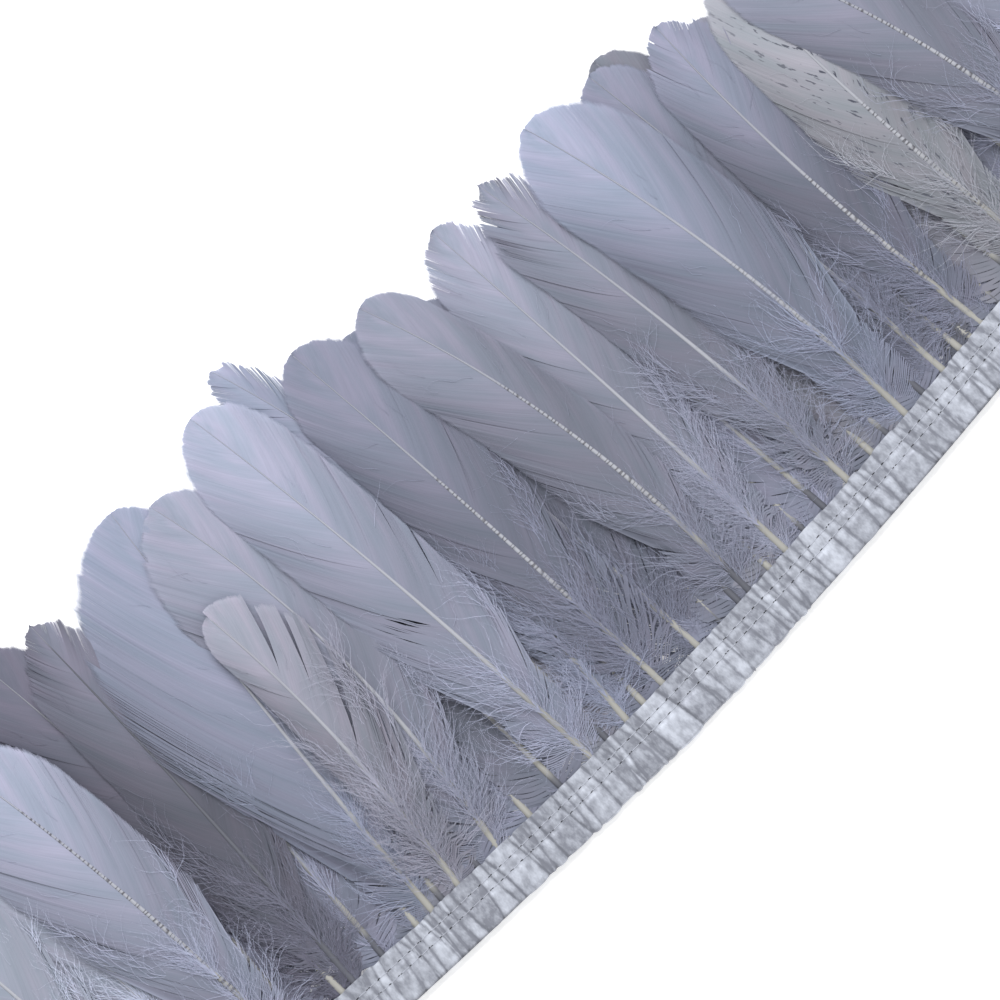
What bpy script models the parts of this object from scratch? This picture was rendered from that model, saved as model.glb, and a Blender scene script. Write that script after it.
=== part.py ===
"""Goose feather trim: dyed goose feathers sewn side by side, by their quills, into a folded satin tape.

It lies on its back. +X runs along the tape, +Y from the tape to the feathers' tips, and +Z up. The origin is on
the tape's flat back, in the middle of its length and width.
"""

import math
import random
from collections import namedtuple

import bmesh
import bpy
import numpy as np

MM = 0.001

# The tape is one ribbon folded lengthwise over the quills. It bends very slightly round the feathers.
TAPE_LENGTH = 512 * MM
TAPE_WIDTH = 20 * MM
TAPE_RADIUS = 2000 * MM
TAPE_LOWEST_X = -10 * MM
RIBBON_THICKNESS = 0.4 * MM
CHANNEL_HEIGHT = 2.7 * MM
FOLD_DEPTH = 1.4 * MM
FOLD_BULGE = 1.0 * MM
PLEAT_SPACING = 8.5 * MM
PLEAT_HEIGHT = 0.5 * MM
PLEAT_STEP = 0.5 * MM
PLEAT_SHIFT = 0.3
SMALLEST_FOLD_BULGE = -0.3

# A quill goes into the tape, and the feathers lie in layers that part from each other above it.
QUILL_IN_TAPE = 12 * MM
QUILL_WIDTH = 2.8 * MM
QUILL_HEIGHT = 2.0 * MM
FIRST_LAYER_HEIGHT = 0.5 * MM
LAYER_PITCH = 1.6 * MM
RISE_LENGTH = 40 * MM

# The shaft thins towards the tip, and most of its bend is near there.
SHAFT_BEND_POWER = 1.3
SHAFT_HEIGHTS = {25 * MM: 1.5 * MM, 50 * MM: 0.95 * MM}
SHAFT_TIP_HEIGHT = 0.5 * MM
VANE_SHAFT_WIDTH = 1.8 * MM
VANE_SHAFT_START = 60 * MM
SHAFT_TIP_WIDTH = 0.6 * MM

# The two vanes swell above the quill, droop a little towards their edges and round off at the tip.
VANE_START = 6 * MM
VANE_FULL = 56 * MM
TIP_ROUNDING = 1.55
TIP_FULLNESS = 2.2
CAMBER = 0.5 * MM
CAMBER_WIDTH = 20 * MM

# Stations are where a feather has a section: along its quill, its straight stretch and its tip. Barbs sweep
# forward, and a section follows them a little, or all the way on a feather whose vanes are split into locks.
QUILL_STATIONS = [-QUILL_IN_TAPE, 0, 9 * MM]
FIRST_VANE_STATION = 18 * MM
LAST_STRAIGHT_STATION = 37 * MM
STRAIGHT_STATIONS = 10
TIP_STATIONS = np.array([27, 18, 11, 6, 2.2]) * MM
SECTION_SWEEP = 0.3
SPLIT_SWEEP = 1.2
SPLIT_HALF_WIDTH = 2.5 * MM
SPLIT_REACH = 0.45

# foot is where the quill leaves the tape, in millimetres from the tape's middle. The leans are the quill's and
# the tip's, in degrees from +Y towards +X. left and right are the widths of the two vanes, in millimetres.
# layer counts up from the surface, and splits are the shares of the length where the vanes part into locks.
Feather = namedtuple("Feather", "foot length lean tip_lean left right layer splits", defaults=[()])
FRONT_FEATHERS = [
    Feather(-248, 158, -2, -8, 19, 18, 3),
    Feather(-231, 164, -1, -7, 20, 20, 5),
    Feather(-206, 158, 1, -3, 17, 18, 4),
    Feather(-182, 144, 0, -9, 27, 19, 6),
    Feather(-158, 164, 1, -5, 18, 16, 3),
    Feather(-153, 160, 5.5, 2, 17, 15, 4),
    Feather(-118, 169, 6, 9, 34, 16, 5),
    Feather(-106, 122, 9.5, -5, 9, 20, 8, (0.42, 0.56, 0.68, 0.79, 0.89)),
    Feather(-88, 162, 11, -13, 29, 17, 6),
    Feather(-45, 173, -1, -7, 21, 17, 7),
    Feather(-28, 181, 6, -17, 14, 9, 4),
    Feather(-11, 164, -1, -4, 18, 20, 5),
    Feather(6, 155, -2, -4, 18, 17, 3),
    Feather(31, 160, 1, -20, 20, 12, 6),
    Feather(49, 158, -1, -3, 17, 14, 4),
    Feather(80, 157, -2, -10, 16, 16, 5),
    Feather(109, 158, -1, -15.5, 22, 20, 7),
    Feather(128, 152, -3, -6, 18, 14, 4),
    Feather(137, 154, -5, -7, 15, 14, 3),
    Feather(148, 146, -6, 4, 16, 18, 5),
    Feather(178, 144, -6, 4, 20, 18, 6),
    Feather(210, 150, -4, -27, 20, 18, 7),
    Feather(226, 150, -11, -15, 18, 17, 5),
    Feather(235, 148, -10, -17, 18, 17, 4),
    Feather(247, 150, -12, -20, 19, 18, 6),
]
BACK_FEET = [
    -240, -222, -213, -196, -175, -140, -125, -113, -97, -73, -59, -37, -20, 17, 26, 41,
    58, 68, 92, 100, 118, 142, 157, 168, 188, 199, 218, 230, 242,
]
BACK_LENGTH = (136, 150)
BACK_VANE_WIDTH = (15, 18)
BACK_RIGHT_SHARE = (0.9, 1.0)
BACK_FAN = 1.3
BACK_LEAN_SPREAD = 1.2
BACK_BEND = (1, 4)
BACK_LAYERS = 3

FEATHER_GREY = (0.34, 0.36, 0.43)
TAPE_SILVER = (0.45, 0.48, 0.52)


def smooth(share):
    share = np.clip(share, 0, 1)
    return share * share * (3 - 2 * share)


def tape_line(x):
    """How far the tape's middle line has bent towards the feathers at x."""
    return ((x - TAPE_LOWEST_X) ** 2 - TAPE_LOWEST_X**2) / (2 * TAPE_RADIUS)


def back_feathers():
    """The shorter feathers beneath, which fan out a little more than the bend of the tape."""
    made = []
    for number, foot in enumerate(BACK_FEET):
        draw = random.Random(f"back feather {number}")
        square = -math.degrees((foot * MM - TAPE_LOWEST_X) / TAPE_RADIUS)
        lean = BACK_FAN * square + draw.uniform(-BACK_LEAN_SPREAD, BACK_LEAN_SPREAD)
        width = draw.uniform(*BACK_VANE_WIDTH)
        made.append(
            Feather(
                foot=foot,
                length=draw.uniform(*BACK_LENGTH),
                lean=lean,
                tip_lean=lean - draw.uniform(*BACK_BEND),
                left=width,
                right=width * draw.uniform(*BACK_RIGHT_SHARE),
                layer=number % BACK_LAYERS,
            )
        )
    return made


def shaft_points(feather, distances):
    """Where the shaft is at each distance from the tape's edge, and which way it heads, in radians from +Y."""
    length = feather.length * MM
    lean, tip_lean = math.radians(feather.lean), math.radians(feather.tip_lean)
    steps = np.linspace(0, length, 81)
    headings = lean + (tip_lean - lean) * (steps / length) ** SHAFT_BEND_POWER
    stride = steps[1] - steps[0]
    foot_x = feather.foot * MM
    foot_y = TAPE_WIDTH / 2 + tape_line(foot_x)
    x = foot_x + np.append(0, np.cumsum(np.sin(headings[:-1])) * stride)
    y = foot_y + np.append(0, np.cumsum(np.cos(headings[:-1])) * stride)
    inside = np.minimum(distances, 0)
    return (
        np.interp(distances, steps, x) + inside * math.sin(lean),
        np.interp(distances, steps, y) + inside * math.cos(lean),
        np.interp(distances, steps, headings),
    )


def vane_width(feather, side_width, along):
    """The width of one vane at this distance along the feather."""
    length = feather.length * MM
    rounding = TIP_ROUNDING * side_width
    swell = smooth((along - VANE_START) / (VANE_FULL - VANE_START))
    past = np.clip((along - (length - rounding)) / rounding, 0, 1)
    return side_width * swell * np.sqrt(1 - past**TIP_FULLNESS)


def sweep(feather):
    return SPLIT_SWEEP if feather.splits else SECTION_SWEEP


def vane_rim(feather, side_width, roots):
    """How far along, and how wide, the edge is that each station on the shaft sweeps forward to."""
    along = np.linspace(0, feather.length * MM, 600)
    width = vane_width(feather, side_width, along)
    rim = np.interp(roots, np.maximum.accumulate(along - sweep(feather) * width), along)
    return rim, np.interp(rim, along, width)


def layer_height(layer, rise):
    """All quills leave the tape at one height, and each layer parts from the others as it goes up."""
    channel_middle = RIBBON_THICKNESS + CHANNEL_HEIGHT / 2
    full = FIRST_LAYER_HEIGHT + layer * LAYER_PITCH
    return channel_middle + (full - channel_middle) * smooth(rise / RISE_LENGTH)


def shaft_height(feather, distances):
    places = [0, *SHAFT_HEIGHTS, feather.length * MM]
    return np.interp(distances, places, [QUILL_HEIGHT, *SHAFT_HEIGHTS.values(), SHAFT_TIP_HEIGHT])


def shaft_half_width(feather, distances):
    places = [0, VANE_SHAFT_START, feather.length * MM]
    return np.interp(distances, places, [QUILL_WIDTH / 2, VANE_SHAFT_WIDTH / 2, SHAFT_TIP_WIDTH / 2])


def feather_stations(feather):
    """The places of the sections along the shaft, and which of them are at the bottom of a split."""
    length = feather.length * MM
    mean_width = (feather.left + feather.right) / 2 * MM
    rims = np.linspace(FIRST_VANE_STATION, length - LAST_STRAIGHT_STATION, STRAIGHT_STATIONS)
    rims = np.append(rims, length - TIP_STATIONS)
    splits = np.array(feather.splits) * length
    rims = np.sort(np.concatenate([rims, splits - SPLIT_HALF_WIDTH, splits, splits + SPLIT_HALF_WIDTH]))
    vane_stations = rims - sweep(feather) * vane_width(feather, mean_width, rims)
    in_split = np.isin(rims, splits)
    return np.append(QUILL_STATIONS, vane_stations), np.append([False] * len(QUILL_STATIONS), in_split)


def feather_sections(feather):
    """One diamond section for each station: left edge, underside of the shaft, right edge, top of the shaft."""
    stations, in_split = feather_stations(feather)
    x, y, heading = shaft_points(feather, stations)
    middle = layer_height(feather.layer, y - TAPE_WIDTH / 2 - tape_line(x))
    half_height = shaft_height(feather, stations) / 2
    edges = []
    for side, side_width in ((-1, feather.left * MM), (1, feather.right * MM)):
        rim, width = vane_rim(feather, side_width, stations)
        width = width * np.where(in_split, SPLIT_REACH, 1)
        width = np.maximum(width, shaft_half_width(feather, stations))
        ahead = np.where(stations > 0, np.minimum(rim - stations, sweep(feather) * width), 0)
        edge_x = x + np.sin(heading) * ahead + side * np.cos(heading) * width
        edge_y = y + np.cos(heading) * ahead - side * np.sin(heading) * width
        droop = CAMBER * np.minimum(width / CAMBER_WIDTH, 1) ** 2
        edge_z = layer_height(feather.layer, edge_y - TAPE_WIDTH / 2 - tape_line(edge_x)) - droop
        edges.append(np.stack([edge_x, edge_y, edge_z], axis=1))
    top = np.stack([x, y, middle + half_height], axis=1)
    under = np.stack([x, y, np.maximum(middle - half_height, 0)], axis=1)
    return list(zip(edges[0], under, edges[1], top))


def feather_tip(feather):
    x, y, _ = shaft_points(feather, np.array([feather.length * MM]))
    return (x[0], y[0], FIRST_LAYER_HEIGHT + feather.layer * LAYER_PITCH)


def extrude_through(bm, sections):
    """Extrudes the first section from each section to the next, and returns the last face."""
    face = bm.faces.new([bm.verts.new(corner) for corner in sections[0]])
    for section in sections[1:]:
        face = bmesh.ops.extrude_discrete_faces(bm, faces=[face])["faces"][0]
        for corner, place in zip(face.verts, section):
            corner.co = place
    return face


def add_part(name, bm, colour, roughness):
    """Closes the foot of the shape, and makes it an object with a plain material of its own."""
    bmesh.ops.holes_fill(bm, edges=[edge for edge in bm.edges if edge.is_boundary])
    bmesh.ops.recalc_face_normals(bm, faces=bm.faces)
    mesh = bpy.data.meshes.new(name)
    bm.to_mesh(mesh)
    bm.free()
    mesh.shade_smooth()
    mesh.set_sharp_from_angle(angle=math.radians(40))
    material = bpy.data.materials.new(name)
    material.use_nodes = True
    shader = material.node_tree.nodes["Principled BSDF"]
    shader.inputs["Base Color"].default_value = (*colour, 1)
    shader.inputs["Roughness"].default_value = roughness
    mesh.materials.append(material)
    part = bpy.data.objects.new(name, mesh)
    bpy.context.scene.collection.objects.link(part)


def make_feather(name, feather):
    bm = bmesh.new()
    end = extrude_through(bm, feather_sections(feather))
    bmesh.ops.pointmerge(bm, verts=list(end.verts), merge_co=feather_tip(feather))
    add_part(name, bm, FEATHER_GREY, 0.7)


def tape_section(x, pleat, step, bulge):
    """The folded ribbon cut across: a flat back, the fold at -Y, and a puckered front, open at +Y."""
    half = TAPE_WIDTH / 2
    inside = RIBBON_THICKNESS + CHANNEL_HEIGHT
    front = inside + RIBBON_THICKNESS
    bend_start = -half + FOLD_DEPTH
    profile = [
        (half, 0),
        (half, RIBBON_THICKNESS),
        (bend_start, RIBBON_THICKNESS),
        (bend_start - FOLD_DEPTH / 2, front / 2),
        (bend_start, inside),
        (half + step, inside),
        (half + step, front),
        (0, front + pleat),
        (bend_start, front + pleat / 2),
        (-half - bulge, front / 2),
        (bend_start - FOLD_DEPTH / 2, 0),
    ]
    tilt = (x - TAPE_LOWEST_X) / TAPE_RADIUS
    return [(x - across * math.sin(tilt), tape_line(x) + across * math.cos(tilt), z) for across, z in profile]


def make_tape():
    """Each pleat of the ribbon stands up a little, steps its open edge and swells its fold."""
    draw = random.Random("pleats")
    ends = TAPE_LENGTH / 2
    count = round(TAPE_LENGTH / PLEAT_SPACING)
    stations = [-ends + TAPE_LENGTH * number / count for number in range(count + 1)]
    sections = []
    for number, station in enumerate(stations):
        shift = draw.uniform(-PLEAT_SHIFT, PLEAT_SHIFT) * PLEAT_SPACING if 0 < number < count else 0
        pleat = PLEAT_HEIGHT * (number % 2) * draw.uniform(0.5, 1)
        step = PLEAT_STEP * draw.uniform(-1, 1)
        bulge = FOLD_BULGE * draw.uniform(SMALLEST_FOLD_BULGE, 1)
        sections.append(tape_section(station + shift, pleat, step, bulge))
    bm = bmesh.new()
    extrude_through(bm, sections)
    add_part("satin_tape", bm, TAPE_SILVER, 0.35)


for old in list(bpy.data.objects):
    bpy.data.objects.remove(old)

make_tape()
for number, feather in enumerate(FRONT_FEATHERS, start=1):
    make_feather(f"front_feather_{number:02d}", feather)
for number, feather in enumerate(back_feathers(), start=1):
    make_feather(f"back_feather_{number:02d}", feather)
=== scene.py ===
"""Goose feather trim: grey-dyed goose feathers sewn side by side, by their quills, into a folded ribbon.

It lies on its back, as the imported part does. +X runs along the ribbon, +Y towards the feathers' tips, +Z up.
"""

import math
import random
from collections import namedtuple

import bmesh
import bpy
import numpy as np
from mathutils import Matrix


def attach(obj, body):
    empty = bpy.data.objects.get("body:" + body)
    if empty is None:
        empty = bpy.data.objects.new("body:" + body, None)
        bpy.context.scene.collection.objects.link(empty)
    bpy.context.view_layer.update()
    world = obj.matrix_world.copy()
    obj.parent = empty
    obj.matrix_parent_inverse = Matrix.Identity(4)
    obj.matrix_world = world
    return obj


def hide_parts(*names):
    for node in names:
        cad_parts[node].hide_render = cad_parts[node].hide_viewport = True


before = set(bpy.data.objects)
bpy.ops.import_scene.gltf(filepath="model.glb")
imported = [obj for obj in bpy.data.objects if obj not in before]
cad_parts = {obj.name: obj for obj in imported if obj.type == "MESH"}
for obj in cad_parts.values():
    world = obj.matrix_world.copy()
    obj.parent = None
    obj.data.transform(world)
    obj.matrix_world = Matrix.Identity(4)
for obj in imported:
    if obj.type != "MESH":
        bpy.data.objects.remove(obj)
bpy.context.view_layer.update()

# Back row of feathers
# Shorter goose feathers that fill in behind the ones in front. Each is a horny quill with two vanes of barbs,
# dyed after washing, and its bare end goes into the ribbon, where two rows of stitches hold it.
MM = 0.001
TAPE_WIDTH = 20 * MM
TAPE_RADIUS = 2000 * MM
TAPE_LOWEST_X = -10 * MM
RIBBON_THICKNESS = 0.4 * MM
CHANNEL_HEIGHT = 2.7 * MM
QUILL_IN_TAPE = 12 * MM
QUILL_HEIGHT = 2.0 * MM
FIRST_LAYER_HEIGHT = 0.5 * MM
LAYER_PITCH = 1.6 * MM
RISE_LENGTH = 40 * MM
SHAFT_BEND_POWER = 1.3
SHAFT_HEIGHTS = {25 * MM: 1.5 * MM, 50 * MM: 0.95 * MM}
SHAFT_TIP_HEIGHT = 0.4 * MM
SHAFT_WIDTHS = {0: 2.7 * MM, 30 * MM: 2.0 * MM, 75 * MM: 1.25 * MM, 115 * MM: 0.8 * MM}
SHAFT_TIP_WIDTH = 0.2 * MM
IVORY = "#9c9b96"
PALE_SHAFT = "#a0a2aa"
CLEAR_HORN = "#575962"
DOWN_TONE = 1.5
VANE_START = 6 * MM
VANE_FULL = 56 * MM
TIP_ROUNDING = 1.55
TIP_FULLNESS = 2.2
EDGE_SWEEP = 0.3
SPLIT_EDGE_SWEEP = 1.2
BARB_SWEEP = 2.2
DOWNY_SWEEP = 0.3
SWEEP_FULL = 75 * MM
VANE_FROM = -6 * MM
CAMBER = 0.5 * MM
CAMBER_WIDTH = 20 * MM
SHAFT_SAMPLES = 81
VANE_SAMPLES = 600
BASE_FROM = -9 * MM
BASE_REACH = 14 * MM
SWEEP_FROM = -5 * MM
TURN_FORWARD = 0.33
TURN_OUTWARD = 0.5

# foot is where the quill leaves the ribbon, from its middle, in mm, as all lengths here are. lean and
# tip_lean are the quill's and the tip's, in degrees from +Y towards +X. left and right are the vanes'
# widths. layer counts up from the table. gaps are (side, along, depth, opening): where barbs have come
# apart, how far in, how wide. rings are (from, to, strength) along the shaft, and clear is how far the
# quill is clear horn. frayed is how worn the tip is, and locks says that the barbs stand in locks. holes
# are (side, along, share of the vane, opening), specks is how spotted it is, loose how downy its lower
# part is, and base how wide the vanes are at its foot, as a share of their full width. The last column is
# the power on the painted light and shade along the feather: how much darker its middle is painted than its
# tip.
Feather = namedtuple(
    "Feather",
    "foot length lean tip_lean left right layer dye "
    "gaps rings clear frayed locks holes specks loose base shade",
    defaults=[(), (), 0, 0, False, (), 0, 1, 0.6, 1],
)


def linear(hex_colour):
    """A colour written as sRGB hex, as the linear red, green, blue and alpha that nodes take."""
    parts = [int(hex_colour[place : place + 2], 16) / 255 for place in (1, 3, 5)]
    return (*(part / 12.92 if part <= 0.04045 else ((part + 0.055) / 1.055) ** 2.4 for part in parts), 1)


def new_material(name, values):
    """A new material with these values on its shader. It gives the material, its node tree and its shader."""
    material = bpy.data.materials.new(name)
    material.use_nodes = True
    shader = material.node_tree.nodes["Principled BSDF"]
    for socket, value in values.items():
        shader.inputs[socket].default_value = value
    return material, material.node_tree, shader


def add_node(tree, kind, inputs=(), **settings):
    """Adds one node. An input is a value, an output to link from, or a node, for its first output."""
    node = tree.nodes.new("ShaderNode" + kind)
    for name, value in settings.items():
        setattr(node, name, value)
    for socket, value in inputs.items() if isinstance(inputs, dict) else enumerate(inputs):
        if isinstance(value, bpy.types.Node):
            value = value.outputs[0]
        if isinstance(value, bpy.types.NodeSocket):
            tree.links.new(value, node.inputs[socket])
        else:
            node.inputs[socket].default_value = value
    return node


def finished_mesh(name, bm):
    """Turns a bmesh into a mesh, and lets go of it."""
    mesh = bpy.data.meshes.new(name)
    bm.to_mesh(mesh)
    bm.free()
    return mesh


def add_object(name, data):
    """Puts a mesh, a lamp or the camera into the scene."""
    thing = bpy.data.objects.new(name, data)
    bpy.context.scene.collection.objects.link(thing)
    return thing


def smooth(share):
    """Rises from 0 to 1, gently at both ends, as share does."""
    share = np.clip(share, 0, 1)
    return share * share * (3 - 2 * share)


def tape_line(x):
    """How far the ribbon's middle line has bent towards the feathers at x."""
    return ((x - TAPE_LOWEST_X) ** 2 - TAPE_LOWEST_X**2) / (2 * TAPE_RADIUS)


def shaft_points(feather, distances):
    """Where the shaft is at each distance from the ribbon's edge, and its heading, in radians from +Y."""
    length = feather.length * MM
    lean, tip_lean = math.radians(feather.lean), math.radians(feather.tip_lean)
    steps = np.linspace(0, length, SHAFT_SAMPLES)
    headings = lean + (tip_lean - lean) * (steps / length) ** SHAFT_BEND_POWER
    stride = steps[1] - steps[0]
    foot_x = feather.foot * MM
    foot_y = TAPE_WIDTH / 2 + tape_line(foot_x)
    x = foot_x + np.append(0, np.cumsum(np.sin(headings[:-1])) * stride)
    y = foot_y + np.append(0, np.cumsum(np.cos(headings[:-1])) * stride)
    inside = np.minimum(distances, 0)
    return (
        np.interp(distances, steps, x) + inside * math.sin(lean),
        np.interp(distances, steps, y) + inside * math.cos(lean),
        np.interp(distances, steps, headings),
    )


def vane_width(feather, side_width, along):
    """The width of one vane at this distance along the feather."""
    length = feather.length * MM
    rounding = TIP_ROUNDING * side_width
    swell = smooth((along - VANE_START) / (VANE_FULL - VANE_START))
    past = np.clip((along - (length - rounding)) / rounding, 0, 1)
    return side_width * swell * np.sqrt(1 - past**TIP_FULLNESS)


def layer_height(layer, x, y):
    """All quills leave the ribbon at one height, and each layer parts from the others as it goes up."""
    rise = y - TAPE_WIDTH / 2 - tape_line(x)
    channel_middle = RIBBON_THICKNESS + CHANNEL_HEIGHT / 2
    full = FIRST_LAYER_HEIGHT + layer * LAYER_PITCH
    return channel_middle + (full - channel_middle) * smooth(rise / RISE_LENGTH)


def add_strips(bm, count, steps):
    """Adds strips that lie apart, and says which strip, edge and step each vertex belongs to."""
    rows = 2 * count - 1
    made = bmesh.ops.create_grid(bm, x_segments=steps, y_segments=rows, size=1)["verts"]
    places = np.array([vertex.co for vertex in made])
    row = np.rint((places[:, 1] + 1) / 2 * rows).astype(int)
    step = np.rint((places[:, 0] + 1) / 2 * steps).astype(int)
    row_of = dict(zip(made, row))
    faces = dict.fromkeys(face for vertex in made for face in vertex.link_faces)
    between = [face for face in faces if min(row_of[vertex] for vertex in face.verts) % 2]
    bmesh.ops.delete(bm, geom=between, context="FACES")
    return row // 2, row % 2, step


def barb_lines(feather, side, roots, shares):
    """The lines that barbs follow from the shaft to the vane's rim, where each ends, and how far out."""
    side_width = (feather.left if side < 0 else feather.right) * MM
    along = np.linspace(2 * VANE_FROM, feather.length * MM, VANE_SAMPLES)
    least = feather.base * side_width * smooth((along - BASE_FROM) / BASE_REACH)
    width = np.maximum(vane_width(feather, side_width, along), least * (along < VANE_FULL))
    sweep = DOWNY_SWEEP + (BARB_SWEEP - DOWNY_SWEEP) * smooth((along - SWEEP_FROM) / SWEEP_FULL)
    rim = np.interp(roots, np.maximum.accumulate(along - sweep * width), along)
    reach = np.interp(rim, along, width)
    edge_sweep = SPLIT_EDGE_SWEEP if feather.locks else EDGE_SWEEP
    x, y, heading = shaft_points(feather, roots)
    edge_x, edge_y, edge_heading = shaft_points(feather, rim - edge_sweep * reach)
    edge_x = edge_x + np.sin(edge_heading) * edge_sweep * reach + side * np.cos(edge_heading) * reach
    edge_y = edge_y + np.cos(edge_heading) * edge_sweep * reach - side * np.sin(edge_heading) * reach
    forward, outward = TURN_FORWARD * (rim - roots), TURN_OUTWARD * reach
    turn_x = x + np.sin(heading) * forward + side * np.cos(heading) * outward
    turn_y = y + np.cos(heading) * forward - side * np.sin(heading) * outward
    c = shares[None, :]
    line_x, line_y = (
        (1 - c) ** 2 * start[:, None] + 2 * c * (1 - c) * turn[:, None] + c**2 * end[:, None]
        for start, turn, end in ((x, turn_x, edge_x), (y, turn_y, edge_y))
    )
    return line_x, line_y, rim, reach, edge_heading


BARB_SHARES = np.array([0, 0.13, 0.27, 0.41, 0.55, 0.68, 0.8, 0.9, 0.96, 1.0])
HALF_BARB = 0.56
BARE_TIP = 0.4 * MM
LOOSE_FROM = 18 * MM
LOOSE_TO = 54 * MM
SPLIT_REACH = 16 * MM
SMALL_SPLITS = 6
SMALL_SPLIT_PLACE = (0.35, 0.9)
SMALL_SPLIT_DEPTH = (0.15, 0.8)
SMALL_SPLIT_OPENING = (-2.2, 0.2)
SPLIT_LIFT = 0.55
HOLE_REACH = 1.3 * MM
HOLE_SHARE = 0.1
WANDER_SPAN = 30
WANDER = 0.07
LOOSE_WANDER = 0.25
WANDER_SHORTENING = 0.003
STRAY_SPAN = 4
STRAY_SHIFT = 1.1 * MM
STRAY_LIFT = 0.4
BARB_UNEVEN = 0.004
LOOSE_SHORTENING = 0.2
LOCK_WIDTH = (1.5, 5)
LOCK_DRAW = 0.15
LOOSE_CURL = 1.7 * MM
LOOSE_CURLS = (0.5, 1.3)
WORN_FROM = 0.95
FRAYED_SHARE = 0.07
WISP_WIDTH = (0.6, 2.4)
WISP_DRAW = 0.35
WISP_TURN = 0.4
WISP_WEAR = (0, 0.12)
WEAR_UNEVEN = 0.03
WISP_LIFT = (-0.4, 0.8)
WISP_SHADE = (-0.15, 0.4)
SWELLS = {5 * MM: 0.35, 13 * MM: 0.75}
VANE_ARCH = 0.6
END_TAPER = 0.04
LOOSE_TAPER = 0.14
BARB_END_WIDTH = 0.12
BARB_TILT = (0.015, 0.006)
WIDEST_PARTING = 0.25 * MM
DOWNY_PARTING = 0.2 * MM
DOWNY_TO = 20 * MM
LOWEST_BARB = 0.15 * MM
BARB_TONE_SPREAD = 0.009
RIGHT_VANE_UV = 500
# How much brighter the vane's thin rim is painted, as painted light shining through it.
PAINTED_RIM_LIGHT = 0.12
SPECK_FADE = 0.6
Part = namedtuple("Part", "places flat shades marks kind")


def running_mean(values, span):
    """The mean of each value and its neighbours."""
    return np.convolve(values, np.ones(span + 1) / (span + 1), "same")


def barb_locks(rim, widths, draw):
    """Each barb's lock, for locks of these widths in mm, and how far off the middle of the lock is."""
    ends = np.cumsum(draw.uniform(*widths, 3 * len(rim))) * MM
    lock = np.searchsorted(ends, rim - rim[0])
    middle = ends[lock] - np.diff(ends, prepend=0)[lock] / 2 + rim[0]
    return lock, (middle - rim)[:, None]


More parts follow.
